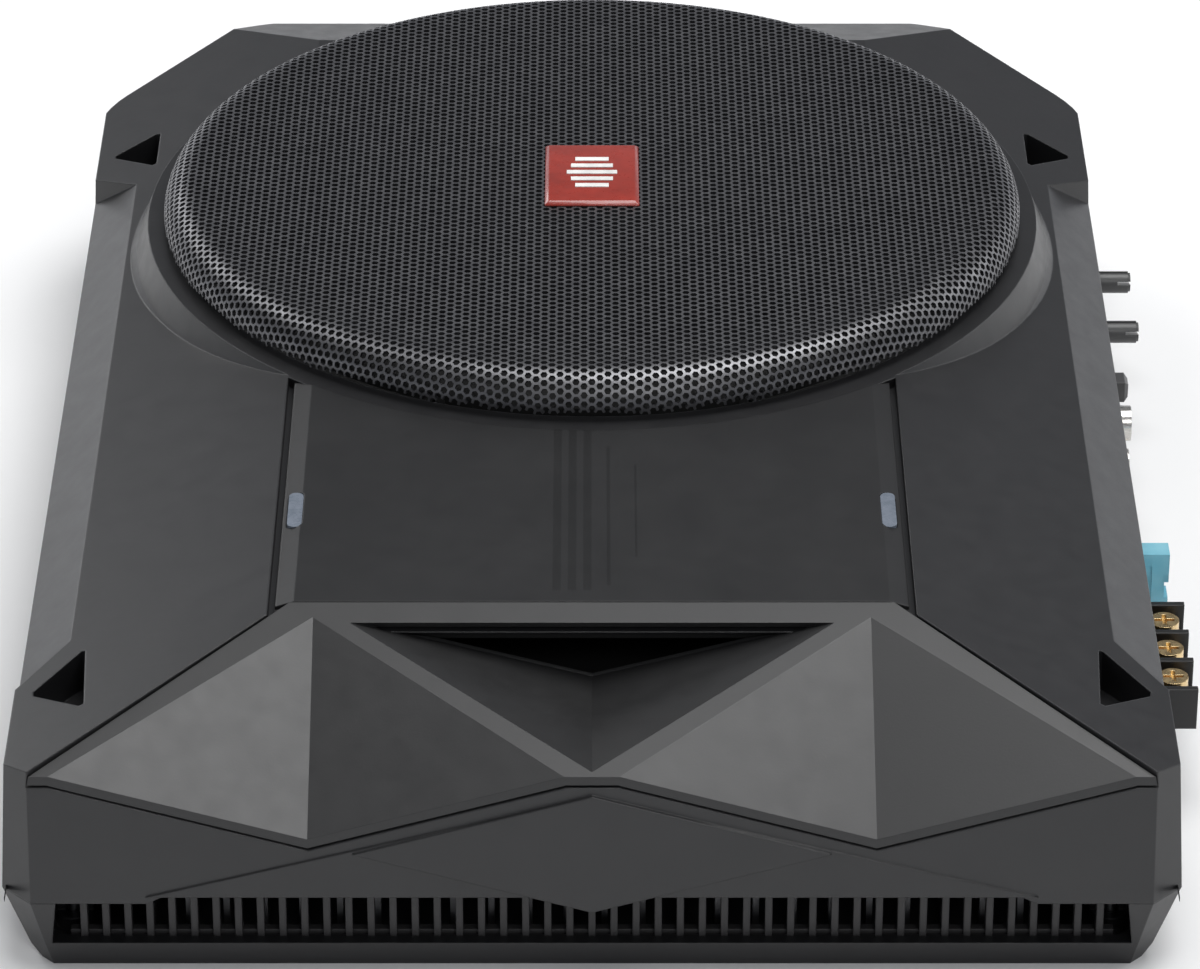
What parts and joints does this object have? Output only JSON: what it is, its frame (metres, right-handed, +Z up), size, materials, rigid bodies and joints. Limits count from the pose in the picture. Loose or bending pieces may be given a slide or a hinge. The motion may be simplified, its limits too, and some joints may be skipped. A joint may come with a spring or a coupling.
{
  "type": "powered car subwoofer",
  "caption": "Low under-seat powered car subwoofer: round perforated grille, faceted slot port at the front, side controls, fuse and screw terminals.",
  "frame": {"origin": "middle of the flat underside, under the centre of the case", "axes": "+X towards the connector side, +Y towards the woofer end, -Y is the faceted front, +Z up"},
  "size_m": [0.2562, 0.3602, 0.07],
  "materials": {
    "case_plastic": "fine moulded texture, satin",
    "panel_plastic": "fine moulded texture",
    "facet_plastic": "very fine spark texture, satin",
    "vent_plastic": "satin",
    "grille_steel": "black powder coat",
    "badge_red": "glossy red with bright bevels",
    "badge_white": "white enamel",
    "lens": "frosted clear",
    "led_body": "clear",
    "port_plastic": "smooth",
    "foam_rubber": "foam",
    "foot_rubber": "matte",
    "zinc_screw": "zinc plated",
    "black_screw": "black oxide",
    "basket_steel": "black paint",
    "ferrite": "raw ferrite",
    "plated_steel": "zinc plated",
    "surround_rubber": "matte",
    "spider_cloth": "resin-dipped weave",
    "fibre_board": "fibre board",
    "lead_wire": "insulated wire",
    "circuit_board": "solder mask",
    "brass_standoff": "machined",
    "heat_sink_alloy": "anodised",
    "chip_plastic": "moulded",
    "capacitor_sleeve": "shrink sleeve",
    "copper_winding": "enamelled copper",
    "connector_plastic": "satin",
    "harness_wire": "insulated wire",
    "potentiometer_body": "plated",
    "jack_plastic": "moulded",
    "jack_metal": "nickel plated",
    "socket_plastic": "moulded nylon",
    "terminal_plastic": "moulded",
    "gold_plate": "gold plated",
    "gold_screw": "gold plated",
    "cone_pulp": "pressed pulp",
    "coil_copper": "enamelled copper",
    "knob_plastic": "satin",
    "fuse_blue": "translucent blue"
  },
  "bodies": {
    "case": {"top_housing": "case_plastic", "centre_panel": "panel_plastic", "front_facet_bezel": "facet_plastic", "base_housing": "case_plastic", "vent_comb": "vent_plastic", "grille": "grille_steel", "badge_plate": "badge_red", "badge_mark": "badge_white", "indicator_lenses": "lens", "indicator_leds": "led_body", "bass_port_duct": "port_plastic", "seam_gasket": "foam_rubber", "foot_pads": "foot_rubber", "case_screws": "zinc_screw", "driver_basket": "basket_steel", "driver_gasket": "foam_rubber", "driver_screws": "black_screw", "magnet_ring": "ferrite", "top_plate": "plated_steel", "pole_yoke": "plated_steel", "surround": "surround_rubber", "spider": "spider_cloth", "driver_terminals": "fibre_board", "speaker_leads": "lead_wire", "amp_board": "circuit_board", "board_standoffs": "brass_standoff", "board_screws": "zinc_screw", "heat_sink": "heat_sink_alloy", "transistors": "chip_plastic", "capacitors": "capacitor_sleeve", "filter_inductor": "copper_winding", "power_transformer": "copper_winding", "amp_chips": "chip_plastic", "connector_panel": "connector_plastic", "control_board": "circuit_board", "control_harness": "harness_wire", "potentiometers": "potentiometer_body", "phase_switch": "chip_plastic", "rca_body": "jack_plastic", "rca_shells": "jack_metal", "speaker_level_socket": "socket_plastic", "remote_socket": "connector_plastic", "fuse_holder": "connector_plastic", "terminal_block": "terminal_plastic", "terminal_contacts": "gold_plate"},
    "cone_assembly": {"cone": "cone_pulp", "dust_cap": "cone_pulp", "voice_coil": "coil_copper"},
    "level_knob": {"level_knob": "knob_plastic"},
    "crossover_knob": {"crossover_knob": "knob_plastic"},
    "phase_button": {"phase_button": "knob_plastic"},
    "blade_fuse": {"blade_fuse": "fuse_blue"},
    "terminal_clamp_1": {"terminal_clamp_1": "gold_plate"},
    "terminal_screw_1": {"terminal_screw_1": "gold_screw"},
    "terminal_clamp_2": {"terminal_clamp_2": "gold_plate"},
    "terminal_screw_2": {"terminal_screw_2": "gold_screw"},
    "terminal_clamp_3": {"terminal_clamp_3": "gold_plate"},
    "terminal_screw_3": {"terminal_screw_3": "gold_screw"}
  },
  "joints": [
    {"name": "cone_stroke", "type": "slide", "parent": "case", "child": "cone_assembly", "axis": [0, 0, 1], "range_m": [-0.005, 0.005], "stiffness_N_per_m": 3000, "deforming": ["surround", "spider"]},
    {"name": "level_turn", "type": "hinge", "parent": "case", "child": "level_knob", "pos_m": [0.122, 0.0775, 0.027], "axis": [1, 0, 0], "range_deg": [-150, 150]},
    {"name": "crossover_turn", "type": "hinge", "parent": "case", "child": "crossover_knob", "pos_m": [0.122, 0.052, 0.027], "axis": [1, 0, 0], "range_deg": [-150, 150]},
    {"name": "phase_press", "type": "slide", "parent": "case", "child": "phase_button", "axis": [-1, 0, 0], "range_m": [0, 0.002], "stiffness_N_per_m": 800},
    {"name": "fuse_pull", "type": "slide", "parent": "case", "child": "blade_fuse", "axis": [1, 0, 0], "range_m": [0, 0.009]},
    {"name": "clamp_lift_1", "type": "slide", "parent": "case", "child": "terminal_clamp_1", "axis": [0, 0, 1], "range_m": [0, 0.002]},
    {"name": "screw_turn_1", "type": "hinge", "parent": "terminal_clamp_1", "child": "terminal_screw_1", "pos_m": [0.127, -0.0857, 0.028], "axis": [0, 0, 1], "range_deg": [0, 720]},
    {"name": "clamp_lift_2", "type": "slide", "parent": "case", "child": "terminal_clamp_2", "axis": [0, 0, 1], "range_m": [0, 0.002]},
    {"name": "screw_turn_2", "type": "hinge", "parent": "terminal_clamp_2", "child": "terminal_screw_2", "pos_m": [0.127, -0.0975, 0.028], "axis": [0, 0, 1], "range_deg": [0, 720]},
    {"name": "clamp_lift_3", "type": "slide", "parent": "case", "child": "terminal_clamp_3", "axis": [0, 0, 1], "range_m": [0, 0.002]},
    {"name": "screw_turn_3", "type": "hinge", "parent": "terminal_clamp_3", "child": "terminal_screw_3", "pos_m": [0.127, -0.1093, 0.028], "axis": [0, 0, 1], "range_deg": [0, 720]}
  ],
  "couplings": [
    {"joint": "screw_turn_1", "follows": "clamp_lift_1", "rad_per_m": 6283.2},
    {"joint": "screw_turn_2", "follows": "clamp_lift_2", "rad_per_m": 6283.2},
    {"joint": "screw_turn_3", "follows": "clamp_lift_3", "rad_per_m": 6283.2}
  ]
}
